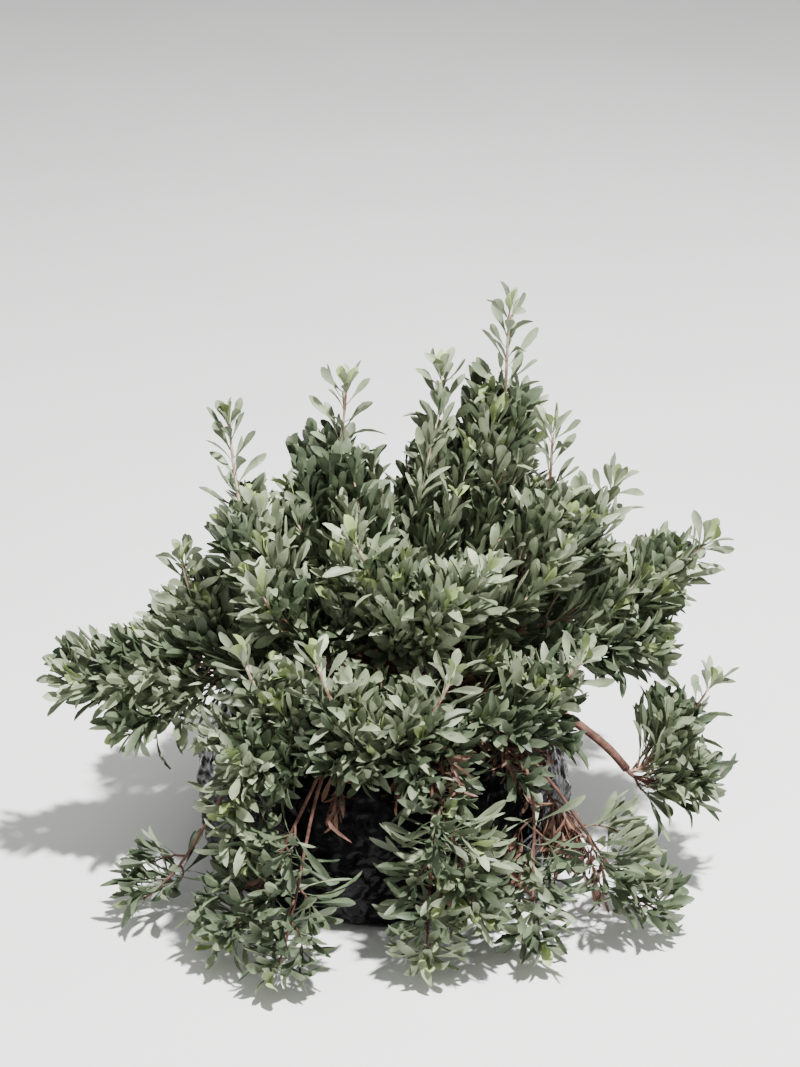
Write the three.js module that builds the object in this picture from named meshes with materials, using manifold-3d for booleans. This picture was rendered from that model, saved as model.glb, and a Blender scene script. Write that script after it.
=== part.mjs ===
// A flowering shrub, limoniastrum monopetalum, in a soft black grow bag.
// Millimetres, +Z up. The origin is the middle of the bag's flat underside, and -Y is the front.
// Limbs and sprays are rows of azimuth (degrees from +X), reach (from the Z axis) and height.

import * as THREE from 'three';
import { mergeVertices } from 'three/addons/utils/BufferGeometryUtils.js';
import Module from 'manifold-3d';

const wasm = await Module();
wasm.setup();

// Clearance between neighbouring solids.
const GAP = 0.35;

// Bag: [reach, height] of the outside, and the thickness of wall and foot.
const BAG_OUTSIDE = [
  [166, 0], [174, 7], [179, 40], [180, 75], [176, 105], [168, 124], [158, 139], [150, 150],
];
const BAG_WALL = 3;
const BAG_SIDES = 32;

// Soil: its level round the trunk.
const SOIL_LEVEL = 138;

// Trunk: [radius, height above the soil], with a lean towards the front right.
const TRUNK_RADII = [[27, 0], [21, 7], [18, 20], [17, 45], [15, 66], [9, 80]];
const TRUNK_LEAN = new THREE.Vector2(5, -4);
const TRUNK_SIDES = 10;

// Boughs: sides, rings and the radius where the foliage starts.
const BOUGH_SIDES = 6;
const BOUGH_RINGS = 5;
const BOUGH_TIP_RADIUS = 4;

// Boughs: the tip as azimuth, reach and height, the height of the root on the trunk, the share of the
// reach and the height that the limb aims for first, and its radius at the root.
const BOUGHS = [
  ['left_up', -146, 46, 238, 201, [0.45, 226], 5.6],
  ['crown_left', 166, 26, 264, 212, [0.45, 242], 5.6],
  ['crown_mid', 28, 44, 272, 208, [0.4, 246], 6],
  ['right_up', -4, 92, 256, 196, [0.5, 234], 5.8],
  ['right_out', 4, 120, 220, 174, [0.55, 212], 5.6],
  ['front_up', -72, 34, 236, 203, [0.45, 226], 5.4],
  ['left_out', -174, 104, 208, 184, [0.5, 212], 5.6],
  ['front_left', -124, 116, 180, 180, [0.55, 200], 5.4],
  ['front_mid', -92, 112, 178, 182, [0.55, 198], 5.4],
  ['right_front', -40, 112, 182, 182, [0.55, 202], 5.4],
  ['right_bare', -17, 240, 116, 168, [0.7, 206], 5.6],
  ['right_low', -46, 166, 176, 161, [0.6, 194], 5.2],
  ['front_low', -76, 166, 176, 162, [0.6, 193], 5.2],
  ['front_left_low', -108, 166, 176, 161, [0.6, 194], 5.2],
  ['left_low', -131, 164, 178, 162, [0.6, 195], 5.2],
  ['back_left', 148, 84, 216, 182, [0.5, 214], 5.6],
  ['back_mid', 78, 62, 234, 200, [0.45, 232], 5.8],
  ['back_right', 38, 100, 210, 180, [0.5, 212], 5.6],
].map(([name, azimuth, reach, height, root, bend, radius]) => (
  { name, azimuth, reach, height, root, bend, radius }));

// Masses of foliage, each with the bough that it springs from: its furthest leaf tip as azimuth, reach and
// height, the rise of its stem there in degrees, the girth of its leaves round the stem, the sweep (how
// long the stem keeps to the bough's own course) and the bare share of the stem.
const MASSES = [
  ['left_tall', 'left_up', -172, 144, 474, 84, 52, 0.5, 0.2],
  ['left_front', 'left_up', -136, 160, 338, 70, 62, 0.5, 0.08],
  ['left_tuft', 'crown_left', 172, 98, 382, 60, 58, 0.5, 0.06],
  ['centre_left', 'crown_left', 152, 40, 494, 84, 56, 0.4, 0.12],
  ['centre', 'crown_mid', 38, 70, 498, 80, 54, 0.4, 0.12],
  ['leader', 'crown_mid', 14, 120, 562, 84, 56, 0.5, 0.12],
  ['right_tall', 'right_up', 0, 157, 458, 84, 56, 0.4, 0.12],
  ['right_high', 'right_up', 8, 230, 386, 62, 54, 0.5, 0.12],
  ['right_far', 'right_out', 2, 320, 330, 45, 54, 0.45, 0.12],
  ['right_side', 'right_out', -4, 278, 226, 20, 58, 0.45, 0.12],
  ['front_crown', 'front_up', -108, 92, 382, 74, 62, 0.4, 0.06],
  ['front_crown_right', 'front_up', -48, 148, 358, 66, 62, 0.5, 0.06],
  ['left_upper', 'left_out', -173, 192, 332, 80, 58, 0.5, 0.12],
  ['left_far', 'left_out', -172, 322, 212, 20, 56, 0.45, 0.12],
  ['left_under', 'left_out', -169, 264, 124, -35, 66, 0.5, 0.1],
  ['front_left_high', 'front_left', -132, 194, 292, 74, 60, 0.35, 0.08],
  ['front_left_side', 'front_left', -124, 248, 206, 40, 58, 0.4, 0.1],
  ['front_mid_left', 'front_mid', -108, 198, 316, 80, 58, 0.35, 0.08],
  ['front_mid_right', 'front_mid', -72, 206, 298, 72, 62, 0.35, 0.08],
  ['right_face', 'right_front', -32, 226, 278, 62, 62, 0.35, 0.08],
  ['dead_skirt', 'right_front', -34, 208, 30, -80, 34, 0.6, 0.45],
  ['right_clump', 'right_bare', -9, 322, 220, 70, 66, 0.15, 0.05],
  ['right_under', 'right_bare', -15, 328, 112, 0, 64, 0.3, 0.05],
  ['right_ground', 'right_low', -34, 330, 26, 12, 56, 0.45, 0.3],
  ['front_right_ground', 'right_low', -58, 286, 20, 8, 50, 0.35, 0.25],
  ['front_ground', 'front_low', -81, 270, 20, 8, 54, 0.35, 0.25],
  ['front_wall', 'front_low', -69, 266, 48, -10, 56, 0.5, 0.1],
  ['front_left_ground', 'front_left_low', -110, 304, 20, 6, 56, 0.35, 0.4],
  ['left_corner_ground', 'front_left_low', -124, 290, 22, 6, 60, 0.35, 0.2],
  ['left_wall', 'left_low', -120, 254, 84, -10, 56, 0.5, 0.1],
  ['left_ground', 'left_low', -147, 292, 20, 8, 56, 0.35, 0.55],
  ['back_left_high', 'back_left', 134, 186, 312, 70, 62, 0.45, 0.12],
  ['back_left_far', 'back_left', 160, 256, 190, 20, 62, 0.45, 0.12],
  ['back_centre', 'back_mid', 118, 136, 366, 74, 64, 0.45, 0.12],
  ['back_right_high', 'back_mid', 56, 158, 372, 72, 64, 0.5, 0.12],
  ['back_right_far', 'back_right', 26, 282, 248, 35, 62, 0.45, 0.12],
  ['back_right_low', 'back_right', 55, 264, 170, 5, 60, 0.45, 0.12],
  ['back_ground_left', 'back_left', 122, 276, 90, -20, 60, 0.5, 0.2],
  ['back_ground_mid', 'back_right', 84, 282, 104, -20, 60, 0.5, 0.25],
].map(([name, bough, azimuth, reach, height, rise, girth, sweep, bare]) => (
  { name, bough, azimuth, reach, height, rise, girth, sweep, bare }));

// Stems and twigs are three-sided. A node is a short length of one, and a leaf or twig grows from its side.
const STEM_RADIUS = 2.4;
const STEM_TIP_RADIUS = 1.6;
const TWIG_RADIUS = 1.7;
const TWIG_TIP_RADIUS = 1.4;
const NODE_LENGTH = 4.5;
const NODE_PITCH = 15;
const FEWEST_NODES = 4;
const MOST_NODES = 8;
const NODE_TURN = 17.5;

// How far the stems on one bough stand from its middle, by their number.
const FORK_OFFSET = [0, 0, 1.5, 2.6];

// A stem stops short of the mass's tip by the reach of its last leaf.
const TIP_LEAF_REACH = 55;

// Leaves: spatulate blades, widest past the middle.
const LEAF_LENGTH = 62;
const LEAF_WIDTH = 25;
const LEAF_WIDEST = 0.62;
const LEAF_ARCH = 1;
const LEAF_DROOP = 1.5;

const MOST_TWIGS = 6;
const TWIG_SPACING = 9;

// Clearances: from the next mass, the limbs, the ground, the bag and a shoot of the same mass.
const SPACE_MARGIN = 1;
const LIMB_MARGIN = 1.2;
const TRUNK_MARGIN = 22;
const GROUND_MARGIN = 4;
const BAG_MARGIN = 7;
const OWN_TWIG_MARGIN = 3;
const TOUCH_VOLUME = 0.0005;

// Dead leaves are smaller, and hang in one mass.
const DEAD_MASS = 'dead_skirt';
const DEAD_LEAF_SIZE = 0.7;

const COLOURS = {
  bag: ['#1b1c1b', 0.42],
  soil: ['#35271c', 0.95],
  bark: ['#6b4c3b', 0.85],
  foliage: ['#818c72', 0.55],
  dead: ['#7a4a33', 0.9],
};

function radians(degrees) {
  return degrees * Math.PI / 180;
}

function polar(azimuth, reach, height) {
  const angle = radians(azimuth);
  return new THREE.Vector3(reach * Math.cos(angle), reach * Math.sin(angle), height);
}

// A fixed number between 0 and 1 for each pair of whole numbers.
function chance(seed, step) {
  const wave = Math.sin(seed * 12.9898 + step * 78.233) * 4375.5453;
  return wave - Math.floor(wave);
}

// Value of a list of [value, position] rows at a position.
function along(rows, position) {
  for (let i = 1; i < rows.length; i += 1) {
    const [before, low] = rows[i - 1];
    const [after, high] = rows[i];
    if (position <= high) {
      return before + (after - before) * Math.max(0, (position - low) / (high - low));
    }
  }
  return rows[rows.length - 1][0];
}

// Solids from three.js geometry.

function solid(geometry) {
  const bare = geometry.clone();
  bare.deleteAttribute('normal');
  bare.deleteAttribute('uv');
  const merged = mergeVertices(bare, 1e-4);
  const faces = [];
  const index = merged.index.array;
  for (let i = 0; i < index.length; i += 3) {
    const face = [index[i], index[i + 1], index[i + 2]];
    if (new Set(face).size === 3) {
      faces.push(...face);
    }
  }
  return new wasm.Manifold(new wasm.Mesh({
    numProp: 3,
    vertProperties: new Float32Array(merged.attributes.position.array),
    triVerts: new Uint32Array(faces),
  }));
}

// The largest piece of a solid: loose scraps are dropped and sealed hollows filled.
function mainPiece(shape) {
  const pieces = shape.decompose();
  return pieces.reduce((best, piece) => (piece.volume() > best.volume() ? piece : best));
}

function node(name, shape, [colour, roughness]) {
  const data = shape.getMesh();
  const geometry = new THREE.BufferGeometry();
  geometry.setAttribute('position', new THREE.BufferAttribute(data.vertProperties, 3));
  geometry.setIndex(new THREE.BufferAttribute(data.triVerts, 1));
  geometry.computeVertexNormals();
  const material = new THREE.MeshStandardMaterial({ color: colour, roughness, metalness: 0 });
  const mesh = new THREE.Mesh(geometry, material);
  mesh.name = name;
  return mesh;
}

// Turns a lathed profile upright, and moves each point out by the bag's creases at its azimuth and height.
function lathed(profile, sides, crease) {
  const points = profile.map(([reach, height]) => new THREE.Vector2(reach, height));
  const geometry = new THREE.LatheGeometry(points, sides);
  geometry.rotateX(Math.PI / 2);
  const position = geometry.attributes.position;
  for (let i = 0; i < position.count; i += 1) {
    const x = position.getX(i);
    const y = position.getY(i);
    const reach = Math.hypot(x, y);
    if (reach > 0.001) {
      const scale = 1 + crease(Math.atan2(y, x), position.getZ(i), reach) / reach;
      position.setX(i, x * scale);
      position.setY(i, y * scale);
    }
  }
  return geometry;
}

// Soft folds of the filled bag.
function bagCrease(angle, height) {
  const slump = 2.6 * Math.sin(2 * angle + 0.8) + 1.8 * Math.sin(5 * angle + 1.9 + height * 0.02);
  const folds = 1.6 * Math.sin(11 * angle + height * 0.045) + 1.2 * Math.sin(8 * angle - height * 0.06);
  return slump + folds * Math.min(1, 0.35 + height / 110) - 3;
}

// The filled bag's form, drawn in by `inset` and cut off flat at its foot and top.
function bagForm(inset, foot, top) {
  const above = BAG_OUTSIDE.filter(([, height]) => height > foot);
  const rows = above.map(([reach, height]) => [reach - inset, height]);
  const sole = BAG_OUTSIDE[0][0] - inset;
  const rim = rows[rows.length - 1][0];
  const profile = [[0, foot], [sole, foot], ...rows, [rim, top], [0, top]];
  return solid(lathed(profile, BAG_SIDES, bagCrease));
}

function bagSolid() {
  const rim = BAG_OUTSIDE[BAG_OUTSIDE.length - 1][1];
  return bagForm(0, 0, rim + 1).subtract(bagForm(BAG_WALL, BAG_WALL, rim + 3));
}

// Soil fills the bag up to a surface that is level at the trunk and sinks a little before the wall.
function soilSolid() {
  const surface = [[0, 0], [34, 0], [78, 2], [120, -3], [200, 2]];
  const above = surface.map(([reach, lift]) => [reach, SOIL_LEVEL + lift]);
  const air = solid(lathed([...above, [200, 200], [0, 200]], BAG_SIDES, () => 0));
  return bagForm(BAG_WALL + GAP + 0.15, BAG_WALL + GAP, 160).subtract(air);
}

// Limbs.

function trunkPoint(height) {
  const share = (height - SOIL_LEVEL) / 80;
  return new THREE.Vector3(TRUNK_LEAN.x * share, TRUNK_LEAN.y * share, height);
}

function trunkSolid(extra) {
  const rows = TRUNK_RADII.map(([radius, height]) => [radius + extra, height]);
  const profile = [[0, 0], ...rows, [0, rows[rows.length - 1][1] + extra]];
  const geometry = new THREE.LatheGeometry(profile.map(([r, h]) => new THREE.Vector2(r, h)), TRUNK_SIDES);
  geometry.rotateX(Math.PI / 2);
  const position = geometry.attributes.position;
  for (let i = 0; i < position.count; i += 1) {
    const height = SOIL_LEVEL + GAP + position.getZ(i);
    const middle = trunkPoint(height);
    const angle = Math.atan2(position.getY(i), position.getX(i));
    const flute = 1 + 0.08 * Math.sin(3 * angle + 0.6) * Math.exp(-position.getZ(i) / 25);
    position.setXYZ(i, middle.x + position.getX(i) * flute, middle.y + position.getY(i) * flute, height);
  }
  return solid(geometry);
}

// Directions across a curve, carried along it without turning; the first lies along `side`.
function carriedFrames(aheads, side) {
  let across = side;
  return aheads.map((ahead) => {
    across = across.clone().addScaledVector(ahead, -across.dot(ahead)).normalize();
    return { ahead, across, over: ahead.clone().cross(across) };
  });
}

// A closed tapering limb: a lathed rod, one ring to each point, bent along the points.
function limbSolid(points, frames, radii, sides) {
  const rings = radii.map((radius, i) => new THREE.Vector2(radius, i));
  const profile = [new THREE.Vector2(0, 0), ...rings, new THREE.Vector2(0, radii.length - 1)];
  const geometry = new THREE.LatheGeometry(profile, sides, Math.PI / 2);
  const position = geometry.attributes.position;
  for (let i = 0; i < position.count; i += 1) {
    const ring = Math.round(position.getY(i));
    const { across, over } = frames[ring];
    const spot = points[ring].clone();
    spot.addScaledVector(across, position.getX(i));
    spot.addScaledVector(over, -position.getZ(i));
    position.setXYZ(i, spot.x, spot.y, spot.z);
  }
  return solid(geometry);
}

function growBough(row) {
  const start = trunkPoint(row.root);
  const aim = polar(row.azimuth, row.reach * row.bend[0], row.bend[1]);
  const end = polar(row.azimuth, row.reach, row.height);
  const curve = new THREE.QuadraticBezierCurve3(start, aim, end);
  const places = [...Array(BOUGH_RINGS + 1).keys()].map((i) => i / BOUGH_RINGS);
  const points = places.map((place) => curve.getPoint(place));
  const frames = carriedFrames(places.map((place) => curve.getTangent(place)), new THREE.Vector3(0, 0, 1));
  const radii = places.map((place) => row.radius + (BOUGH_TIP_RADIUS - row.radius) * place);
  return { ...row, end, course: frames[BOUGH_RINGS].ahead, points, frames, radii };
}

function boughSolid(bough, extra) {
  const points = bough.points.map((point) => point.clone());
  points[BOUGH_RINGS].addScaledVector(bough.course, extra);
  return limbSolid(points, bough.frames, bough.radii.map((radius) => radius + extra * 1.16), BOUGH_SIDES);
}

// Stems: where several leave one bough they stand side by side, each on the side it will grow towards.

function planStems(boughs) {
  return MASSES.map((row, seed) => {
    const bough = boughs.find((limb) => limb.name === row.bough);
    const tip = polar(row.azimuth, row.reach, row.height);
    const side = tip.clone().sub(bough.end);
    side.addScaledVector(bough.course, -side.dot(bough.course)).normalize();
    return { ...row, seed, bough, tip, side };
  });
}

// The turns of the stems on one bough: evenly round it, as near as can be to the sides they grow towards.
function evenTurns(group, across, over) {
  const wanted = group.map((mass) => Math.atan2(mass.side.dot(over), mass.side.dot(across)));
  const order = group.map((_, i) => i).sort((a, b) => wanted[a] - wanted[b]);
  const step = 2 * Math.PI / group.length;
  const drift = order.reduce((sum, i, place) => sum + wanted[i] - place * step, 0) / group.length;
  return group.map((_, i) => drift + order.indexOf(i) * step);
}

function setStems(masses, boughs) {
  for (const bough of boughs) {
    const group = masses.filter((mass) => mass.bough === bough);
    const across = group[0].side.clone();
    const over = bough.course.clone().cross(across);
    const turns = evenTurns(group, across, over);
    group.forEach((mass, i) => {
      mass.side = across.clone().multiplyScalar(Math.cos(turns[i])).addScaledVector(over, Math.sin(turns[i]));
      const start = bough.end.clone().addScaledVector(bough.course, GAP)
        .addScaledVector(mass.side, FORK_OFFSET[group.length]);
      const span = start.distanceTo(mass.tip);
      const aim = start.clone().addScaledVector(bough.course, span * mass.sweep);
      const rise = radians(mass.rise);
      const way = polar(mass.azimuth, Math.cos(rise), Math.sin(rise));
      const last = mass.tip.clone().addScaledVector(way, -span * 0.35);
      mass.curve = new THREE.CubicBezierCurve3(start, aim, last, mass.tip);
      mass.axis = mass.curve.getPoints(14);
      const steps = mass.axis.slice(1).map((point, k) => point.distanceTo(mass.axis[k]));
      mass.axisLength = steps.reduce((sum, step) => sum + step, 0);
      mass.share = 1 - TIP_LEAF_REACH / mass.axisLength;
    });
  }
}

// Distances.

function nearest(point, line) {
  let best = Infinity;
  let place = 0;
  for (let i = 1; i < line.length; i += 1) {
    const from = line[i - 1];
    const ax = line[i].x - from.x;
    const ay = line[i].y - from.y;
    const az = line[i].z - from.z;
    const bx = point.x - from.x;
    const by = point.y - from.y;
    const bz = point.z - from.z;
    const share = Math.min(1, Math.max(0, (ax * bx + ay * by + az * bz) / (ax * ax + ay * ay + az * az)));
    const gap = Math.hypot(bx - ax * share, by - ay * share, bz - az * share);
    if (gap < best) {
      best = gap;
      place = (i - 1 + share) / (line.length - 1);
    }
  }
  return [best, place];
}

// The space of a mass: within its girth and nearer to its own axis than to any other.
function inSpace(point, mass, masses) {
  const [own, place] = nearest(point, mass.axis);
  const girth = mass.girth * (1 - 0.58 * place * place);
  if (own > girth) {
    return false;
  }
  return masses.every((other) => other === mass || nearest(point, other.axis)[0] > own + SPACE_MARGIN);
}

function clearOfBag(point) {
  if (point.z < GROUND_MARGIN) {
    return false;
  }
  if (point.z > BAG_OUTSIDE[BAG_OUTSIDE.length - 1][1] + 3) {
    return true;
  }
  return Math.hypot(point.x, point.y) > along(BAG_OUTSIDE, point.z) + BAG_MARGIN;
}

function clearOfLimbs(point, boughs, trunk) {
  if (nearest(point, trunk)[0] < TRUNK_MARGIN) {
    return false;
  }
  return boughs.every((bough) => {
    const [gap, place] = nearest(point, bough.points);
    return gap > bough.radius + (BOUGH_TIP_RADIUS - bough.radius) * place + LIMB_MARGIN;
  });
}

// Leaves.

// The direction `ahead`, tilted by `lean` degrees towards `out`.
function tilted(ahead, out, lean) {
  const angle = radians(lean);
  return ahead.clone().multiplyScalar(Math.cos(angle)).addScaledVector(out, Math.sin(angle));
}

// A blade leaves its twig at `lean` degrees towards `out`, and is rolled about its own length.
function growLeaf(root, ahead, out, lean, roll, size) {
  const way = tilted(ahead, out, lean);
  const face = ahead.clone().addScaledVector(way, -ahead.dot(way)).normalize();
  return rollLeaf(root, way, face, roll, size);
}

function rollLeaf(root, way, face, roll, size) {
  const side = face.clone().cross(way);
  const turn = radians(roll);
  const across = side.clone().multiplyScalar(Math.cos(turn)).addScaledVector(face, Math.sin(turn));
  const over = face.clone().multiplyScalar(Math.cos(turn)).addScaledVector(side, -Math.sin(turn));
  const length = LEAF_LENGTH * size;
  const half = LEAF_WIDTH * size / 2;
  const at = (forward, sideways, lift) => root.clone().addScaledVector(way, forward * length)
    .addScaledVector(across, sideways).addScaledVector(over, lift);
  return {
    root,
    way,
    roll,
    length,
    left: at(LEAF_WIDEST, -half, LEAF_ARCH),
    right: at(LEAF_WIDEST, half, LEAF_ARCH),
    tip: at(1, 0, -LEAF_DROOP),
    throat: root.clone().addScaledVector(way, 4),
  };
}

// Points of a blade that have to lie in its space.
function leafPoints({ root, way, length, left, right, tip }) {
  const at = (forward) => root.clone().addScaledVector(way, length * forward);
  const between = (a, b, share) => a.clone().lerp(b, share);
  return [
    tip, left, right, at(0.2), at(0.4), at(0.6), at(0.8),
    between(left, tip, 0.5), between(right, tip, 0.5), between(root, left, 0.6), between(root, right, 0.6),
  ];
}

// Whether a line from a to b passes through the triangle p, q, r.
function pierces(a, b, p, q, r) {
  const edge = q.clone().sub(p);
  const other = r.clone().sub(p);
  const way = b.clone().sub(a);
  const normal = way.clone().cross(other);
  const scale = edge.dot(normal);
  if (Math.abs(scale) < 1e-9) {
    return false;
  }
  const offset = a.clone().sub(p);
  const u = offset.dot(normal) / scale;
  const cross = offset.cross(edge);
  const v = way.dot(cross) / scale;
  const t = other.dot(cross) / scale;
  return u > -0.1 && v > -0.1 && u + v < 1.1 && t > -0.03 && t < 1.03;
}

function piercesLeaf(leaf, a, b) {
  return pierces(a, b, leaf.throat, leaf.left, leaf.right) || pierces(a, b, leaf.left, leaf.right, leaf.tip);
}

function leavesCross(one, other) {
  const edges = ({ throat, left, right, tip }) => [
    [throat, left], [throat, right], [left, tip], [right, tip],
  ];
  return edges(one).some(([a, b]) => piercesLeaf(other, a, b))
    || edges(other).some(([a, b]) => piercesLeaf(one, a, b));
}

function meetsShoot(leaf, shoot) {
  const points = leafPoints(leaf);
  return shoot.centres.slice(1).some((centre, i) => piercesLeaf(leaf, shoot.centres[i], centre))
    || points.some((point) => nearest(point, shoot.centres)[0] < OWN_TWIG_MARGIN);
}

// Shoots: a stem or a twig with its rings, and the nodes on it that bear something.

// places are the rings' shares of the curve; nodes are the numbers of the rings that start one.
function growShoot(curve, places, nodes, side, radii, turnFrom) {
  const centres = [];
  let turn = turnFrom;
  const turns = [];
  places.forEach((place, i) => {
    const centre = curve.getPoint(place);
    if (nodes.includes(i - 1)) {
      centre.copy(centres[i - 1]).addScaledVector(curve.getTangent(place), NODE_LENGTH);
    } else if (i > 1) {
      turn += NODE_TURN;
    }
    centres.push(centre);
    turns.push(turn);
  });
  const frames = carriedFrames(places.map((place) => curve.getTangent(place)), side);
  const rings = centres.map((centre, i) => {
    const radius = radii[0] + (radii[1] - radii[0]) * places[i] / places[places.length - 1];
    const spoke = (corner) => outward(frames[i], turns[i] + corner * 120).multiplyScalar(radius);
    return [0, 1, 2].map((corner) => spoke(corner).add(centre));
  });
  return { curve, centres, turns, frames, rings, nodes, bears: [] };
}

function outward(frame, degrees) {
  const turn = radians(degrees);
  return frame.across.clone().multiplyScalar(Math.cos(turn)).addScaledVector(frame.over, Math.sin(turn));
}

// The two faces of a shoot's side between a ring and the next.
function sideFaces(shoot, ring, side) {
  const [low, high] = [shoot.rings[ring], shoot.rings[ring + 1]];
  const next = (side + 1) % 3;
  return [[low[side], low[next], high[next]], [low[side], high[next], high[side]]];
}

function centreOf(face) {
  return face[0].clone().add(face[1]).add(face[2]).divideScalar(3);
}

// Tries the three sides of a node, at its own lean first and then closer to the twig and smaller.
function bearLeaf(shoot, ring, firstSide, lean, size, chanceOf, fits) {
  for (const [closer, smaller] of [[1, 1], [0.7, 0.9], [0.45, 0.78]]) {
    for (let step = 0; step < 3; step += 1) {
      const side = (firstSide + step) % 3;
      const taken = shoot.bears.some((item) => item.ring === ring && item.side === side);
      for (const swing of taken ? [] : [0, 24, -24]) {
        const angle = lean * closer;
        const roll = angle < 34 ? 0 : [0, 68, -68][Math.floor(chanceOf * 3)];
        const half = roll < 0 ? 0 : 1;
        const base = sideFaces(shoot, ring, side)[half];
        const out = outward(shoot.frames[ring], shoot.turns[ring] + 60 + side * 120 + swing);
        const leaf = growLeaf(centreOf(base), shoot.frames[ring].ahead, out, angle, roll, size * smaller);
        if (fits(leaf, base, half)) {
          shoot.bears.push({ ring, side, half, leaf });
          return;
        }
      }
    }
  }
}

// The last leaf of a shoot grows from its end ring.
function bearLast(shoot, size, fits) {
  const last = shoot.rings.length - 1;
  const { ahead } = shoot.frames[last];
  for (const [lean, smaller] of [[0, 1], [12, 0.9], [-12, 0.9], [0, 0.78]]) {
    const out = outward(shoot.frames[last], shoot.turns[last]);
    const way = tilted(ahead, out, lean);
    const face = out.clone().negate().addScaledVector(way, out.dot(way)).normalize();
    const leaf = rollLeaf(shoot.centres[last], way, face, 0, size * smaller);
    if (fits(leaf, shoot.rings[last], 0)) {
      shoot.last = leaf;
      return;
    }
  }
}

// A twig leaves a side of a stem's node and curves up along the stem.
function bearTwig(stem, ring, firstSide, length, fitsPoints) {
  const frame = stem.frames[ring];
  for (let step = 0; step < 3; step += 1) {
    const side = (firstSide + step) % 3;
    for (const swing of [0, 30, -30]) {
      const face = sideFaces(stem, ring, side)[1];
      const start = centreOf(face);
      const out = outward(frame, stem.turns[ring] + 60 + side * 120 + swing);
      const spot = (along, aside) => start.clone().addScaledVector(frame.ahead, length * along)
        .addScaledVector(out, length * aside);
      const curve = new THREE.QuadraticBezierCurve3(start, spot(0.32, 0.4), spot(0.86, 0.5));
      if (fitsPoints(curve.getPoints(3).slice(1))) {
        const down = face[0].clone().sub(start);
        const radii = [TWIG_RADIUS, TWIG_TIP_RADIUS];
        const twig = growShoot(curve, [0, 0.5, 0.501, 0.95, 1], [1, 3], down, radii, 0);
        twig.rings[0] = face;
        stem.bears.push({ ring, side, half: 1, twig });
        return twig;
      }
    }
  }
  return null;
}

function growStem(mass) {
  const length = mass.axisLength * mass.share * (1 - mass.bare);
  const count = Math.min(MOST_NODES, Math.max(FEWEST_NODES, Math.round(length / NODE_PITCH)));
  const places = [0];
  const nodes = [];
  if (mass.bare > 0.3) {
    places.push(mass.share * mass.bare * 0.5);
  }
  for (let i = 0; i < count; i += 1) {
    const place = mass.share * (mass.bare + (1 - mass.bare) * (i + 1) / count);
    nodes.push(places.length);
    places.push(place, place + 0.001);
  }
  return growShoot(mass.curve, places, nodes, mass.side, [STEM_RADIUS, STEM_TIP_RADIUS], 0);
}

function growMass(mass, masses, boughs, trunk) {
  const fitsPoint = (point) => clearOfBag(point) && clearOfLimbs(point, boughs, trunk)
    && inSpace(point, mass, masses);
  const stem = growStem(mass);
  const shoots = [stem];
  const leaves = [];
  const solids = [shootSolid(stem)];
  const standsFree = (shape) => {
    const free = solids.every((other) => shape.intersect(other).volume() < TOUCH_VOLUME);
    if (free) {
      solids.push(shape);
    }
    return free;
  };
  const fits = (leaf, base, half) => {
    const free = leafPoints(leaf).every(fitsPoint) && !leaves.some((other) => leavesCross(leaf, other))
      && !shoots.some((shoot) => meetsShoot(leaf, shoot)) && standsFree(leafSolid(leaf, base, half));
    if (free) {
      leaves.push(leaf);
    }
    return free;
  };
  const apart = (point) => shoots.slice(1).every(
    (other) => nearest(point, other.centres)[0] > TWIG_SPACING,
  );
  const twigFits = (points) => points.every(fitsPoint) && points.every(apart);
  const size = mass.name === DEAD_MASS ? DEAD_LEAF_SIZE : 1;
  stem.nodes.slice(0, -1).slice(0, MOST_TWIGS).forEach((ring, i) => {
    const length = 30 + 0.36 * mass.girth - 16 * i / stem.nodes.length;
    const twig = bearTwig(stem, ring, i + mass.seed, length, twigFits);
    if (twig && standsFree(shootSolid(twig))) {
      shoots.push(twig);
    } else if (twig) {
      stem.bears.pop();
    }
  });
  for (const shoot of shoots) {
    bearLast(shoot, shoot === stem ? size : size * 0.95, fits);
  }
  stem.nodes.forEach((ring, i) => {
    const lean = 30 + 26 * (1 - i / stem.nodes.length);
    bearLeaf(stem, ring, i + mass.seed + 2, lean, size, chance(mass.seed, i), fits);
  });
  shoots.slice(1).forEach((twig, k) => {
    twig.nodes.forEach((ring, i) => {
      bearLeaf(twig, ring, k + 2 * i, 46 - 8 * i, size * 0.95, chance(mass.seed + 50, 2 * k + i), fits);
    });
  });
  return { mass, shoots, leaves };
}

// A mass is one surface: each leaf and twig takes the place of the face that it grows from.

function leafOuter(leaf, half) {
  if (half === 1 && leaf.roll > 45) {
    return [leaf.left, leaf.tip, leaf.right];
  }
  return [leaf.tip, leaf.right, leaf.left];
}

function prismFaces(base, outer) {
  const faces = [];
  for (let k = 0; k < 3; k += 1) {
    const next = (k + 1) % 3;
    faces.push([base[k], base[next], outer[next]], [base[k], outer[next], outer[k]]);
  }
  return faces;
}

function shootFaces(shoot) {
  const faces = [];
  for (let ring = 0; ring < shoot.rings.length - 1; ring += 1) {
    for (let side = 0; side < 3; side += 1) {
      const item = shoot.bears.find((one) => one.ring === ring && one.side === side);
      sideFaces(shoot, ring, side).forEach((face, half) => {
        if (!item || item.half !== half) {
          faces.push(face);
        } else if (item.leaf) {
          const outer = leafOuter(item.leaf, half);
          faces.push(...prismFaces(face, outer), outer);
        } else {
          faces.push(...shootFaces(item.twig));
        }
      });
    }
  }
  const end = shoot.rings[shoot.rings.length - 1];
  if (shoot.last) {
    const outer = leafOuter(shoot.last, 0);
    faces.push(...prismFaces(end, outer), outer);
  } else {
    faces.push(end);
  }
  return faces;
}

function faceSolid(faces) {
  const geometry = new THREE.BufferGeometry();
  const numbers = faces.flat().flatMap((corner) => [corner.x, corner.y, corner.z]);
  geometry.setAttribute('position', new THREE.Float32BufferAttribute(numbers, 3));
  geometry.setIndex([...Array(faces.length * 3).keys()]);
  return solid(geometry);
}

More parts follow.
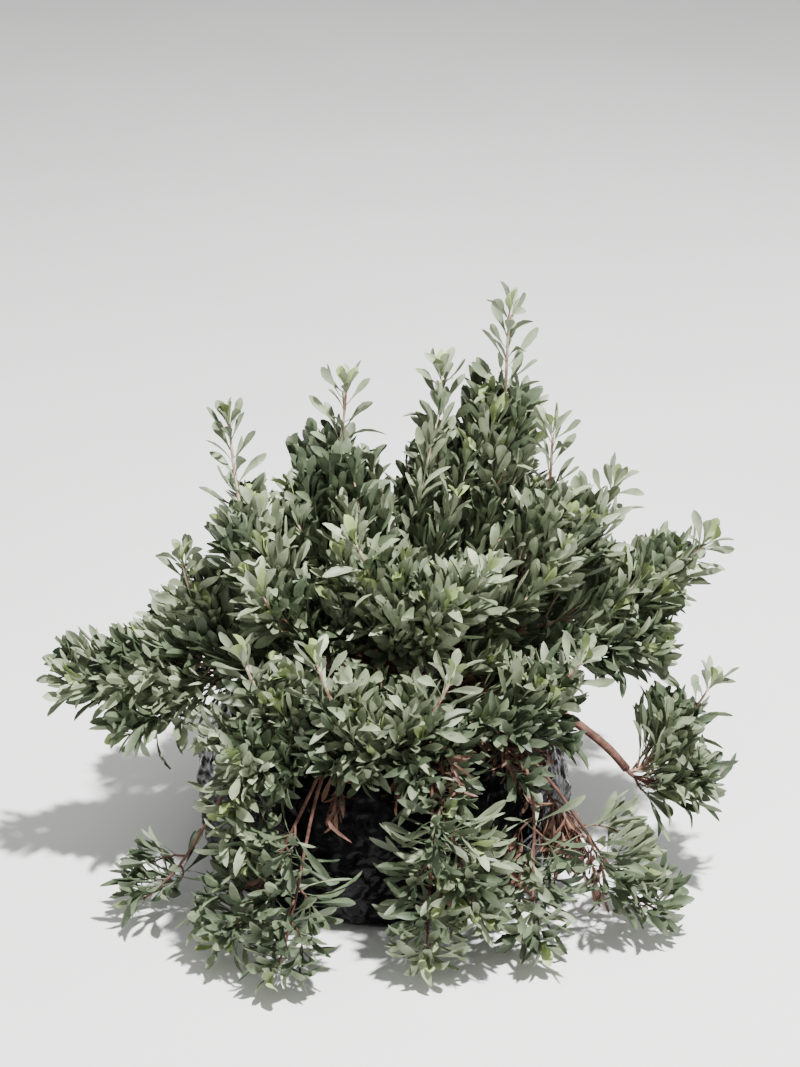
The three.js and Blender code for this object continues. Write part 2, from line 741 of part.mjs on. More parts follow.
function closed(base, faces) {
  return faceSolid([[base[0], base[2], base[1]], ...faces]);
}

function leafSolid(leaf, base, half) {
  const outer = leafOuter(leaf, half);
  return closed(base, [...prismFaces(base, outer), outer]);
}

function shootSolid(shoot) {
  return closed(shoot.rings[0], shootFaces({ ...shoot, bears: [], last: null }));
}

function massSolid({ shoots }) {
  return closed(shoots[0].rings[0], shootFaces(shoots[0]));
}

// The whole plant.

const model = new THREE.Group();
model.name = 'potted_limoniastrum';

const boughs = BOUGHS.map(growBough);
const trunkLine = [trunkPoint(SOIL_LEVEL), trunkPoint(SOIL_LEVEL + 78)];
const masses = planStems(boughs);
setStems(masses, boughs);

model.add(node('grow_bag', bagSolid(), COLOURS.bag));
model.add(node('soil', soilSolid(), COLOURS.soil));
model.add(node('trunk', trunkSolid(0), COLOURS.bark));

let grown = trunkSolid(GAP);
for (const bough of boughs) {
  const shape = mainPiece(boughSolid(bough, 0).subtract(grown));
  model.add(node(`bough_${bough.name}`, shape, COLOURS.bark));
  grown = grown.add(boughSolid(bough, GAP));
}

for (const mass of masses) {
  const grownMass = growMass(mass, masses, boughs, trunkLine);
  const colour = mass.name === DEAD_MASS ? COLOURS.dead : COLOURS.foliage;
  model.add(node(`foliage_${mass.name}`, massSolid(grownMass), colour));
}

export default model;
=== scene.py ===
import math
from collections import namedtuple

import bpy
import numpy as np
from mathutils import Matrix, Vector, noise


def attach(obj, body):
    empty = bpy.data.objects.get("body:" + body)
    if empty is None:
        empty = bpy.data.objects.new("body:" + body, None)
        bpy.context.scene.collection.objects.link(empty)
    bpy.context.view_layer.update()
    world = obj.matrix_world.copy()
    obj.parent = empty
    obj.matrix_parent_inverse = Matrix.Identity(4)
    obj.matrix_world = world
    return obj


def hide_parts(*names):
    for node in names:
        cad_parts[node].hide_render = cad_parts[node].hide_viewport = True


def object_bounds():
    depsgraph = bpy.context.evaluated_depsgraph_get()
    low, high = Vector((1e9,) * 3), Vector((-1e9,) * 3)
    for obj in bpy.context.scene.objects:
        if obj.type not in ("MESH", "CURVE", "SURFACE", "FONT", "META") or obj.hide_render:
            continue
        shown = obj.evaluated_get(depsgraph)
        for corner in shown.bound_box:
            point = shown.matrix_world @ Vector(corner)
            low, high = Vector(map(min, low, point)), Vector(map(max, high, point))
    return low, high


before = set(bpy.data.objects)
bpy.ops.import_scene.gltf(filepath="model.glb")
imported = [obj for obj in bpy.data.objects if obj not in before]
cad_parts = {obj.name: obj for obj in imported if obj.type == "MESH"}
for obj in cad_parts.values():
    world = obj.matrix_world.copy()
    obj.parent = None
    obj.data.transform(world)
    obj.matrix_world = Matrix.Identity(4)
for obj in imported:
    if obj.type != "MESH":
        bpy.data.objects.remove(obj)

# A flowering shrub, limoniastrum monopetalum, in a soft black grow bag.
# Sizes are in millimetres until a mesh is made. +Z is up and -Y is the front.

CAD_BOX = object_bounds()
MM = 0.001

# A value used by ramp() is a pair: what its rule starts from, and what it adds for a share of 1.

# Bag: (reach, height) of the outside, and its slump and folds as in the part's source.
# A wave is its depth, how many go round the bag, where it starts and how it turns with height. At the foot
# the folds have a share of their depth, which grows by 1 over a height.
BAG_OUTSIDE = [(166, 0), (174, 7), (179, 40), (180, 75), (176, 105), (168, 124), (158, 139), (150, 150)]
BAG_HEIGHT = BAG_OUTSIDE[-1][1]
BAG_SLUMP = ((2.6, 2, 0.8, 0), (1.8, 5, 1.9, 0.02))
BAG_FOLDS = ((1.6, 11, 0, 0.045), (1.2, 8, 0, -0.06))
FOLDS_AT_FOOT = 0.35
FOLDS_GROWTH = 110
BAG_INSET = 3
BAG_FILM = 1.4
BAG_COLUMNS = 420
BAG_ROWS = 90

# Rim: how far it stands up, the height over which it droops, how far, and the scale and layer of the noise
# that does it. Inside, the film has one row under the rim and ends below the soil's top.
RIM_RISE = 0.8
LIP_HEIGHT = 10
LIP_DIP = 2.2
LIP_CLOSE = 3
LIP_LAYER = 0.4
LIP_INSIDE = 8
FILM_BELOW_SOIL = 10

# Crumples of the film: the depth of each scale, how close they are round and up the bag, the height over
# which they fade at the foot, and the level of a ridge that neither swells nor dents it.
CRINKLE_DEPTHS = (2.6, 2.0, 1.0)
CRINKLE_ROUND = 5.2
CRINKLE_RISE = 0.030
CRINKLE_FADE = 14
RIDGE_LEVEL = 0.6

# A slow noise bends the crumples. The fine and the finest are closer than the coarse by a factor, the fine
# come from another layer of the noise, and the finest have their own rise and bend.
BEND_CLOSE = 0.7
BEND = 1.3
FINE_CLOSE = 2.9
FINE_LAYER = 3.1
FINEST_CLOSE = 5.2
FINEST_RISE = 0.22
FINEST_BEND = 2

# Soil: its level, (reach, rise) of its top, and its foot. Lumps are a height, a layer of the noise and how
# close they are.
SOIL_LEVEL = 138
SOIL_TOP = [(0, 0), (34, 0), (78, 2), (120, -3), (150, -1)]
SOIL_LUMPS = ((3.0, 0, 0.05), (1.8, 9, 0.19))
SOIL_FOOT = 4
SOIL_FOOT_INSET = 12
SOIL_EDGE_HEIGHT = SOIL_LEVEL - 6
SOIL_EDGE_GAP = 2
SOIL_RINGS = 44
SOIL_COLUMNS = 120

# Dead leaves on the soil. Slope and tilt are how far they point up or down and lean over.
LITTER_LEAVES = 260
LITTER_SEED = 300
LITTER_REACH = (30, 104)
LITTER_EDGE = 138
LITTER_LIFT = (1.5, 3)
LITTER_LENGTH = (18, 22)
LITTER_HALF_WIDTH = (4, 2)
LITTER_CURL = 0.2
LITTER_ROLL = 0.4
LITTER_SLOPE = 0.1
LITTER_SLOPE_CENTRE = 0.4
LITTER_TILT = 0.9

# Trunk: (radius, height above the soil).
TRUNK_RADII = [(27, 0), (21, 7), (18, 20), (17, 45), (15, 66), (9, 80)]
TRUNK_HEIGHT = TRUNK_RADII[-1][1]
TRUNK_LEAN = (5, -4)
TRUNK_RINGS = 34
TRUNK_SIDES = 40
BOUGH_TIP_RADIUS = 4
BOUGH_RINGS = 26
BOUGH_SIDES = 16
BOUGH_RELIEF = 0.55
GAP = 0.35

# Bark: how close its ridges are along each axis and how high, and how close, wide and deep its cracks are.
BARK_CLOSE = (0.16, 0.16, 0.05)
BARK_RISE = 0.9
CRACK_CLOSE = 1.6
CRACK_WIDTH = 0.25
CRACK_DEPTH = 0.7

# Boughs: name, azimuth, reach and height of the tip, height of the root, the aim between them as a share of
# the reach and a height, and the radius at the root.
BOUGHS = [
    ("left_up", -146, 46, 238, 201, (0.45, 226), 5.6),
    ("crown_left", 166, 26, 264, 212, (0.45, 242), 5.6),
    ("crown_mid", 28, 44, 272, 208, (0.4, 246), 6),
    ("right_up", -4, 92, 256, 196, (0.5, 234), 5.8),
    ("right_out", 4, 120, 220, 174, (0.55, 212), 5.6),
    ("front_up", -72, 34, 236, 203, (0.45, 226), 5.4),
    ("left_out", -174, 104, 208, 184, (0.5, 212), 5.6),
    ("front_left", -124, 116, 180, 180, (0.55, 200), 5.4),
    ("front_mid", -92, 112, 178, 182, (0.55, 198), 5.4),
    ("right_front", -40, 112, 182, 182, (0.55, 202), 5.4),
    ("right_bare", -17, 240, 116, 168, (0.7, 206), 5.6),
    ("right_low", -46, 166, 176, 161, (0.6, 194), 5.2),
    ("front_low", -76, 166, 176, 162, (0.6, 193), 5.2),
    ("front_left_low", -108, 166, 176, 161, (0.6, 194), 5.2),
    ("left_low", -131, 164, 178, 162, (0.6, 195), 5.2),
    ("back_left", 148, 84, 216, 182, (0.5, 214), 5.6),
    ("back_mid", 78, 62, 234, 200, (0.45, 232), 5.8),
    ("back_right", 38, 100, 210, 180, (0.5, 212), 5.6),
]

# Masses of foliage: name, bough, the tip's azimuth, reach and height, the rise of its end in degrees, girth,
# how far the stem first follows its bough as a share of its span, and its bare share.
MASSES = [
    ("left_tall", "left_up", -172, 144, 474, 84, 52, 0.5, 0.2),
    ("left_front", "left_up", -136, 160, 338, 70, 62, 0.5, 0.08),
    ("left_tuft", "crown_left", 172, 98, 382, 60, 58, 0.5, 0.06),
    ("centre_left", "crown_left", 152, 40, 494, 84, 56, 0.4, 0.12),
    ("centre", "crown_mid", 38, 70, 498, 80, 54, 0.4, 0.12),
    ("leader", "crown_mid", 14, 120, 562, 84, 56, 0.5, 0.12),
    ("right_tall", "right_up", 0, 157, 458, 84, 56, 0.4, 0.12),
    ("right_high", "right_up", 8, 230, 386, 62, 54, 0.5, 0.12),
    ("right_far", "right_out", 2, 320, 330, 45, 54, 0.45, 0.12),
    ("right_side", "right_out", -4, 278, 226, 20, 58, 0.45, 0.12),
    ("front_crown", "front_up", -108, 92, 382, 74, 62, 0.4, 0.06),
    ("front_crown_right", "front_up", -48, 148, 358, 66, 62, 0.5, 0.06),
    ("left_upper", "left_out", -173, 192, 332, 80, 58, 0.5, 0.12),
    ("left_far", "left_out", -172, 322, 212, 20, 56, 0.45, 0.12),
    ("left_under", "left_out", -169, 264, 124, -35, 66, 0.5, 0.1),
    ("front_left_high", "front_left", -132, 194, 292, 74, 60, 0.35, 0.08),
    ("front_left_side", "front_left", -124, 248, 206, 40, 58, 0.4, 0.1),
    ("front_mid_left", "front_mid", -108, 198, 316, 80, 58, 0.35, 0.08),
    ("front_mid_right", "front_mid", -72, 206, 298, 72, 62, 0.35, 0.08),
    ("right_face", "right_front", -32, 226, 278, 62, 62, 0.35, 0.08),
    ("dead_skirt", "right_front", -34, 208, 30, -80, 34, 0.6, 0.45),
    ("right_clump", "right_bare", -9, 322, 220, 70, 66, 0.15, 0.05),
    ("right_under", "right_bare", -15, 328, 112, 0, 64, 0.3, 0.05),
    ("right_ground", "right_low", -34, 330, 26, 12, 56, 0.45, 0.3),
    ("front_right_ground", "right_low", -58, 286, 20, 8, 50, 0.35, 0.25),
    ("front_ground", "front_low", -81, 270, 20, 8, 54, 0.35, 0.25),
    ("front_wall", "front_low", -69, 266, 48, -10, 56, 0.5, 0.1),
    ("front_left_ground", "front_left_low", -110, 304, 20, 6, 56, 0.35, 0.4),
    ("left_corner_ground", "front_left_low", -124, 290, 22, 6, 60, 0.35, 0.2),
    ("left_wall", "left_low", -120, 254, 84, -10, 56, 0.5, 0.1),
    ("left_ground", "left_low", -147, 292, 20, 8, 56, 0.35, 0.55),
    ("back_left_high", "back_left", 134, 186, 312, 70, 62, 0.45, 0.12),
    ("back_left_far", "back_left", 160, 256, 190, 20, 62, 0.45, 0.12),
    ("back_centre", "back_mid", 118, 136, 366, 74, 64, 0.45, 0.12),
    ("back_right_high", "back_mid", 56, 158, 372, 72, 64, 0.5, 0.12),
    ("back_right_far", "back_right", 26, 282, 248, 35, 62, 0.45, 0.12),
    ("back_right_low", "back_right", 55, 264, 170, 5, 60, 0.45, 0.12),
    ("back_ground_left", "back_left", 122, 276, 90, -20, 60, 0.5, 0.2),
    ("back_ground_mid", "back_right", 84, 282, 104, -20, 60, 0.5, 0.25),
]

# Kinds of mass: the height under which one counts as low, the rises up to which one is level and from
# which one is upright, the reach within which one stands over the trunk, and the share that makes it low.
LOW_HEIGHT = 260
LEVEL_RISE = 30
UPRIGHT_RISE = 80
NEAR_REACH = 160
LOW_FROM = 0.5

# Girth of a mass at the foot and tip of its stem, as shares of the girth in its row.
UPRIGHT_FOOT_GIRTH = (1.45, 0.5)
UPRIGHT_TIP_GIRTH = 0.45
LEANING_GIRTH = (1.25, -0.45)

# Stems. The first row is how far they stand off the middle of a bough's end that bears 0, 1, 2 or 3 of them.
FORK_OFFSET = (0, 0, 1.5, 2.6)
TIP_AIM = 0.35
AXIS_STEPS = 14
LIMB_STEPS = 5
STEM_STEPS = 12
STEM_SIDES = 7
STEM_RADIUS = 2.4
STEM_TIP_RADIUS = 1.2
LOW_STEM_LOSS = 0.7
TIP_REACH = 26

# Side shoots of a stem: how much of its bare part stays bare, where the last one stands, how close they
# are and how long.
BARE_KEPT = 0.9
LOW_BARE = 0.16
LAST_SHOOT = (0.86, -0.34)
SHOOT_PITCH = 5.4
DENSE_PITCH = 0.6
LOW_PITCH = (1, 0.9)
SHOOT_REACH = (0.85, 0.8)
SHOOT_PAST_GIRTH = 18
SHORTEST_SHOOT = 22
LEADER_FOOT = 0.57
LEADER_TAPER = 0.9
ARM_TAPER = 0.4
ARM_TIP_SHOOT = 18

# Side shoots of a bough, near its end.
BOUGH_SHOOTS = 8
BOUGH_SHOOT_SHARE = (1.2, -0.6)
BOUGH_SHOOT_PITCH = 0.08
BOUGH_SHOOT_LENGTH = 74
NEAR_SHOOT_LENGTH = (1, 0.4)
BOUGH_TINT_STEP = 40

# One shoot: each try is shorter, and its curve is told along and out from its stem.
SHOOT_TRIES = (1, 0.72, 0.5)
SHOOT_LENGTH = (0.55, 0.6)
SHOOT_AIM = (0.2, 0.34)
SHOOT_END = (0.62, 0.42)
SHOOT_RISE = 0.38
HANG_RISE = 0.1
DEAD_SHOOT_RISE = -0.2
SHOOT_TEST_PLACE = 0.6
SHOOT_PLACES = (0, 0.34, 0.67, 1)
SHOOT_RADIUS = 1.3
SHOOT_TIP_RADIUS = 0.7
SHOOT_SIDES = 5
SHOOT_FRAME_TILT = 0.01

# Where leaves stand, how far each leans from its shoot in degrees, and its size.
SHOOT_LEAF_PITCH = 3.7
SHOOT_LEAF_FROM = 0.2
FEWEST_SHOOT_LEAVES = 5
SHOOT_LEAF_LEAN = (36, -8)
SHOOT_LEAF_SIZE = (1.04, -0.4)
END_LEAVES = 3
END_LEAF_LEAN = (24, -8)
END_LEAF_SIZE = (0.6, -0.08)
LONE_LEAF_LEAN = 48
STEM_LEAF_PITCH = 5.4
STEM_LEAVES_FROM = 0.4
STEM_LEAF_LEAN = (78, -8)
STEM_LEAF_SIZE = (1.12, -0.48)
TIP_LEAVES = 7
TIP_LEAF_PLACE = (0.97, 0.03)
TIP_LEAF_LEAN = (64, -54)
TIP_LEAF_SIZE = (0.68, -0.22)
YOUNG_TIP_FROM = 0.6

# Turns in degrees: from one leaf or shoot to the next, added for each mass and for each shoot, and where
# the leaves at a shoot's end and on a stem begin.
GOLDEN_ANGLE = 137.5
SEED_TURN = 47
STEP_TURN = 31
END_LEAF_TURN = 60
STEM_LEAF_TURN = 80

# Leaves: spatulate, widest past the middle, blunt with a small point, a little twisted, closed and thin.
LEAF_LENGTH = 54
LEAF_WIDTH = 9.7
LEAF_THICKNESS = 0.7
LEAF_STATIONS = (0.0, 0.24, 0.46, 0.66, 0.83, 0.95)
LEAF_HALF_WIDTHS = (0.10, 0.15, 0.48, 0.94, 0.97, 0.50)
LEAF_FOLD = 0.46
LEAF_EDGE_ANGLE = 50
CURL_ARCH = 2.2
CURL_DROP = 0.7
CURL_CENTRE = 0.35
LIVE_CURL, DEAD_CURL = 0.42, 1.1
LIVE_ROLL, DEAD_ROLL = 2.2, 6
DEAD_WIDTH = 0.5
DEAD_SIZE = 0.6
DEAD_UPTURN = -0.5
UPTURN = (0.28, 0.22)
HANG_UPTURN = 0.35
FACE_OUT = 0.4
FACE_UP = 0.25
LEAN_SPREAD = 16
TWIST_SPREAD = 2.2
LENGTH_LUCK = (0.86, 0.3)
WIDTH_BY_SIZE = (1.32, -0.45)
WIDTH_LUCK = (0.8, 0.36)

# Each try sets a leaf closer to its shoot and makes it smaller. Its middle line is tested at two shares of
# its length, besides its tip and its two edges at the second.
LEAF_TRIES = ((1, 1), (0.7, 0.85), (0.4, 0.7))
LEAF_TEST_PLACES = (0.3, 0.65)

# How far a leaf may cross into the next mass, and its clearances.
SHARED_SPACE = 26
LIMB_MARGIN = 1.2
GROUND_MARGIN = 4
BAG_MARGIN = 6
BAG_TOP_MARGIN = 3
BOX_MARGIN = 0.5
TRUNK_ROOM = 20
TRUNK_ROOM_HEIGHT = 78

BARE_BOUGH = "right_bare"
DEAD_MASS = "dead_skirt"
DEAD_AZIMUTH = -34
# The deep tint is a darker copy of the grey and is painted shade. The pale tint is a lighter copy and is
# painted light. Both are also dealt at random.
TINTS = ("leaf_grey", "leaf_deep_painted_shade", "leaf_pale_painted_light", "leaf_young", "leaf_dead")
GREY, DEEP_SHADE, PALE_LIT, YOUNG, DEAD = range(5)

# Tints of shoots: bounds of a chance between 0 and 1, the place on a stem under which one can be dead, how
# closely dead ones keep to the dead skirt's side, and the height at which the second number of YOUNG_SHARE
# counts in full.
DEAD_BELOW_PLACE = 0.5
DEAD_SHARE = (0.12, 0.18)
SKIRT_FOCUS = 6
# Deep sprays, painted shade, grow more common low down. Pale sprays, painted light, grow rarer there.
DEEP_SHADE_SHARE = (0.36, 0.24)
PALE_LIT_FROM = (0.74, 0.2)
YOUNG_SHARE = (0.2, 0.5)
YOUNG_HEIGHT = 560

# The fixed numbers of chance(), and what is added to a mass's seed for each kind of chance.
CHANCE_SEED, CHANCE_STEP, CHANCE_SCALE = 12.9898, 78.233, 4375.5453
DRAWS = {"lean": 0, "shoot_length": 3, "bough_place": 5, "length": 7, "twist": 13, "width": 17,
         "curl": 29, "roll": 37, "tint": 71, "young": 83}

Leaf = namedtuple("Leaf", "root way across over length half curl roll tint")
Tube = namedtuple("Tube", "points frames radii sides")


def radians(degrees):
    return degrees * math.pi / 180


def polar(azimuth, reach, height):
    angle = radians(azimuth)
    return np.array([reach * math.cos(angle), reach * math.sin(angle), height], float)


def unit(vector):
    return vector / np.linalg.norm(vector)


def chance(seed, step):
    """A fixed number between 0 and 1 for each pair of whole numbers."""
    wave = math.sin(seed * CHANCE_SEED + step * CHANCE_STEP) * CHANCE_SCALE
    return wave - math.floor(wave)


def draw(mass, kind, step):
    return chance(mass["seed"] + DRAWS[kind], step)


def ramp(pair, share):
    """What a pair starts from, plus its second number times the share."""
    return pair[0] + pair[1] * share


def raised(height):
    return np.array([0, 0, height])


def along(rows, position):
    return float(np.interp(position, [row[1] for row in rows], [row[0] for row in rows]))


# Curves and frames.

def bezier(points, place):
    points = [np.array(point, float) for point in points]
    while len(points) > 1:
        points = [a + (b - a) * place for a, b in zip(points, points[1:])]
    return points[0]


def tangent(points, place):
    steps = [np.array(b, float) - np.array(a, float) for a, b in zip(points, points[1:])]
    return unit(bezier(steps, place))


def carried_frames(aheads, side):
    """Directions across a curve, carried along it without turning."""
    frames = []
    across = side
    for ahead in aheads:
        across = unit(across - ahead * np.dot(across, ahead))
        frames.append((ahead, across, np.cross(ahead, across)))
    return frames


def frame_at(control, place, side):
    return carried_frames([tangent(control, place)], side)[0]


def outward(frame_here, degrees):
    turn = radians(degrees)
    return frame_here[1] * math.cos(turn) + frame_here[2] * math.sin(turn)


# Limbs and stems, by the rule of the part's source.

def trunk_point(height):
    share = (height - SOIL_LEVEL) / TRUNK_HEIGHT
    return np.array([TRUNK_LEAN[0] * share, TRUNK_LEAN[1] * share, height], float)


def grow_bough(row):
    name, azimuth, reach, height, root, bend, radius = row
    control = [trunk_point(root), polar(azimuth, reach * bend[0], bend[1]), polar(azimuth, reach, height)]
    line = np.array([bezier(control, i / LIMB_STEPS) for i in range(LIMB_STEPS + 1)])
    return {"name": name, "control": control, "end": control[2], "course": tangent(control, 1),
            "line": line, "radius": radius}


def plan_stems(boughs):
    masses = []
    for seed, row in enumerate(MASSES):
        name, bough_name, azimuth, reach, height, rise, girth, sweep, bare = row
        bough = next(limb for limb in boughs if limb["name"] == bough_name)
        tip = polar(azimuth, reach, height)
        side = tip - bough["end"]
        side = unit(side - bough["course"] * np.dot(side, bough["course"]))
        masses.append({"name": name, "seed": seed, "bough": bough, "azimuth": azimuth, "tip": tip,
                       "side": side, "rise": rise, "girth": girth, "sweep": sweep, "bare": bare})
    return masses


def even_turns(group, across, over):
    wanted = [math.atan2(np.dot(mass["side"], over), np.dot(mass["side"], across)) for mass in group]
    order = sorted(range(len(group)), key=lambda i: wanted[i])
    step = 2 * math.pi / len(group)
    drift = sum(wanted[i] - place * step for place, i in enumerate(order)) / len(group)
    return [drift + order.index(i) * step for i in range(len(group))]


def set_stems(masses, boughs):
    for bough in boughs:
        group = [mass for mass in masses if mass["bough"] is bough]
        across = group[0]["side"]
        over = np.cross(bough["course"], across)
        for mass, turn in zip(group, even_turns(group, across, over)):
            mass["side"] = across * math.cos(turn) + over * math.sin(turn)
            start = bough["end"] + bough["course"] * GAP + mass["side"] * FORK_OFFSET[len(group)]
            span = np.linalg.norm(mass["tip"] - start)
            rise = radians(mass["rise"])
            way = polar(mass["azimuth"], math.cos(rise), math.sin(rise))
            mass["control"] = [start, start + bough["course"] * span * mass["sweep"],
                               mass["tip"] - way * span * TIP_AIM, mass["tip"]]
            mass["axis"] = np.array([bezier(mass["control"], i / AXIS_STEPS) for i in range(AXIS_STEPS + 1)])
            mass["length"] = float(np.linalg.norm(np.diff(mass["axis"], axis=0), axis=1).sum())
            mass["share"] = 1 - TIP_REACH / mass["length"]


# Room: leaves and shoots are tested at a few points, which stay in the space of their mass.

def set_room(masses, boughs):
    trunk_line = np.array([trunk_point(SOIL_LEVEL + TRUNK_ROOM_HEIGHT * i / LIMB_STEPS)
                           for i in range(LIMB_STEPS + 1)])
    radii = [[bough["radius"], BOUGH_TIP_RADIUS] for bough in boughs] + [[TRUNK_ROOM, TRUNK_ROOM]]
    low, high = (np.array(corner) / MM for corner in CAD_BOX)
    return {"axes": np.array([mass["axis"] for mass in masses]),
            "limbs": np.array([bough["line"] for bough in boughs] + [trunk_line]),
            "radii": np.array(radii, float), "low": low + BOX_MARGIN, "high": high - BOX_MARGIN}


def gaps(points, lines):
    """Distance of each point to each line, and the share of the line where it is nearest."""
    start = lines[:, :-1]
    step = lines[:, 1:] - start
    offset = points[:, None, None, :] - start[None]
    share = np.clip((offset * step).sum(-1) / (step * step).sum(-1), 0, 1)
    gap = np.linalg.norm(offset - share[..., None] * step, axis=-1)
    nearest = gap.argmin(-1)
    place = (nearest + np.take_along_axis(share, nearest[..., None], -1)[..., 0]) / step.shape[1]
    return np.take_along_axis(gap, nearest[..., None], -1)[..., 0], place


def low_share(mass):
    """0 for a mass that ends in the crown, near 1 for one that ends at the ground."""
    return max(0, 1 - mass["tip"][2] / LOW_HEIGHT)


def steepness(mass):
    """0 for a stem that ends level or lower, 1 for one that ends upright."""
    return min(1, max(0, (mass["rise"] - LEVEL_RISE) / (UPRIGHT_RISE - LEVEL_RISE)))


def nearness(mass):
    """1 for a mass that ends over the trunk, 0 for one that ends well out."""
    return max(0, 1 - math.hypot(mass["tip"][0], mass["tip"][1]) / NEAR_REACH)


def upturn(mass):
    """How much leaves turn up: most in the crown and near the ground, least on the level arms."""
    return ramp(UPTURN, max(steepness(mass), low_share(mass)))


def girth_at(mass, place):
    """Wide at the foot of the stem, where shoots crowd, and narrow at the tip of an upright one."""
    upright = ramp(UPRIGHT_FOOT_GIRTH, nearness(mass)) * (1 - place) + UPRIGHT_TIP_GIRTH * place
    leaning = ramp(LEANING_GIRTH, place)
    return mass["girth"] * (upright * steepness(mass) + leaning * (1 - steepness(mass)))


def shoot_limit(mass, place):
    """Shoots of an upright stem end well short of its tip, which stays a slender leader."""
    upright = (LEADER_FOOT - place) * mass["length"] * LEADER_TAPER
    leaning = (mass["share"] - place) * mass["length"] * ARM_TAPER + ARM_TIP_SHOOT
    return max(SHORTEST_SHOOT, upright * steepness(mass) + leaning * (1 - steepness(mass)))


def near_bag(points):
    """Whether any point lies in the bag or too close to it."""
    reach = np.hypot(points[:, 0], points[:, 1])
    wall = np.interp(points[:, 2], [row[1] for row in BAG_OUTSIDE], [row[0] for row in BAG_OUTSIDE])
    return bool(((points[:, 2] < BAG_HEIGHT + BAG_TOP_MARGIN) & (reach < wall + BAG_MARGIN)).any())


def fits(points, mass, room):
    """Whether all points are in the mass's space, off the bag and, but for the first, off the limbs."""
    points = np.asarray(points)
    if (points < room["low"]).any() or (points > room["high"]).any() or (points[:, 2] < GROUND_MARGIN).any():
        return False
    if near_bag(points):
        return False
    gap, place = gaps(points, room["axes"])
    own = gap[:, mass["seed"]]
    if (own > girth_at(mass, place[:, mass["seed"]])).any() or (own > gap.min(1) + SHARED_SPACE).any():
        return False
    gap, place = gaps(points[1:], room["limbs"])
    return bool((gap > room["radii"][:, 0] * (1 - place) + room["radii"][:, 1] * place + LIMB_MARGIN).all())


# Growth.

def hang(ahead):
    """How far a stem points down. Leaves and shoots on a hanging stem turn up to the light."""
    return max(0, -ahead[2])


def grow_leaf(mass, room, root, frame_here, turn, lean, size, tint, leaves):
    """Bears a leaf, closer to the shoot and smaller where its first place has no room."""
    step = len(leaves)
    dead = tint == DEAD
    spread = (draw(mass, "lean", step) - 0.5) * LEAN_SPREAD
    curl = (draw(mass, "curl", step) - CURL_CENTRE) * (DEAD_CURL if dead else LIVE_CURL)
    twist = (draw(mass, "twist", step) - 0.5) * TWIST_SPREAD
    lift = DEAD_UPTURN if dead else upturn(mass) + HANG_UPTURN * hang(frame_here[0])
    out = outward(frame_here, turn)
    for closer, smaller in LEAF_TRIES:
        angle = radians((lean + spread) * closer)
        way = unit(frame_here[0] * math.cos(angle) + out * math.sin(angle) + raised(lift))
        face = frame_here[0] - out * FACE_OUT + raised(FACE_UP)
        face = unit(face - way * np.dot(face, way))
        across = np.cross(face, way)
        across = across * math.cos(twist) + face * math.sin(twist)
        over = np.cross(way, across)
        length = LEAF_LENGTH * size * smaller * ramp(LENGTH_LUCK, draw(mass, "length", step))
        width = LEAF_WIDTH * ramp(WIDTH_BY_SIZE, size) * smaller * ramp(WIDTH_LUCK, draw(mass, "width", step))
        half = width / 2 * (DEAD_WIDTH if dead else 1)
        near, wide = (root + way * length * share for share in LEAF_TEST_PLACES)
        tip = root + way * length - over * curl * length * CURL_DROP
        if fits([near, wide, tip, wide + across * half, wide - across * half], mass, room):
            roll = (draw(mass, "roll", step) - 0.5) * (DEAD_ROLL if dead else LIVE_ROLL)
            leaves.append(Leaf(root, way, across, over, length, half, curl, roll, tint))
            return


def tint_of_shoot(mass, place, step):
    """Sprays keep one tint. Low down more are deep (painted shade) and fewer are pale (painted light); a few
    are dead, most of them near the dead skirt.
    """
    if mass["name"] == DEAD_MASS:
        return DEAD
    luck = draw(mass, "tint", step)
    near_skirt = max(0, math.cos(radians(mass["azimuth"] - DEAD_AZIMUTH))) ** SKIRT_FOCUS
    if place < DEAD_BELOW_PLACE and luck < low_share(mass) * ramp(DEAD_SHARE, near_skirt):
        return DEAD
    if luck < ramp(DEEP_SHADE_SHARE, low_share(mass)):
        return DEEP_SHADE
    return PALE_LIT if luck > ramp(PALE_LIT_FROM, low_share(mass)) else GREY


def shoot_curve(mass, room, start, ahead, out, longest, dead, step):
    """The curve of a shoot and its length, shorter where it lacks room, or no curve where there is none."""
    rise = DEAD_SHOOT_RISE if dead else SHOOT_RISE * steepness(mass) + HANG_RISE * hang(ahead)
    for scale in SHOOT_TRIES:
        length = longest * scale * ramp(SHOOT_LENGTH, draw(mass, "shoot_length", step))
        aim = start + ahead * length * SHOOT_AIM[0] + out * length * SHOOT_AIM[1]
        end = start + ahead * length * SHOOT_END[0] + out * length * SHOOT_END[1] + raised(length * rise)
        curve = [start, aim, end]
        if fits([start, bezier(curve, SHOOT_TEST_PLACE), end], mass, room):
            return curve, length
    return None, 0


def tint_of_end(mass, tint, step):
    if tint in (DEAD, DEEP_SHADE):
        return tint
    young = draw(mass, "young", step) < ramp(YOUNG_SHARE, mass["tip"][2] / YOUNG_HEIGHT)
    return YOUNG if young else tint


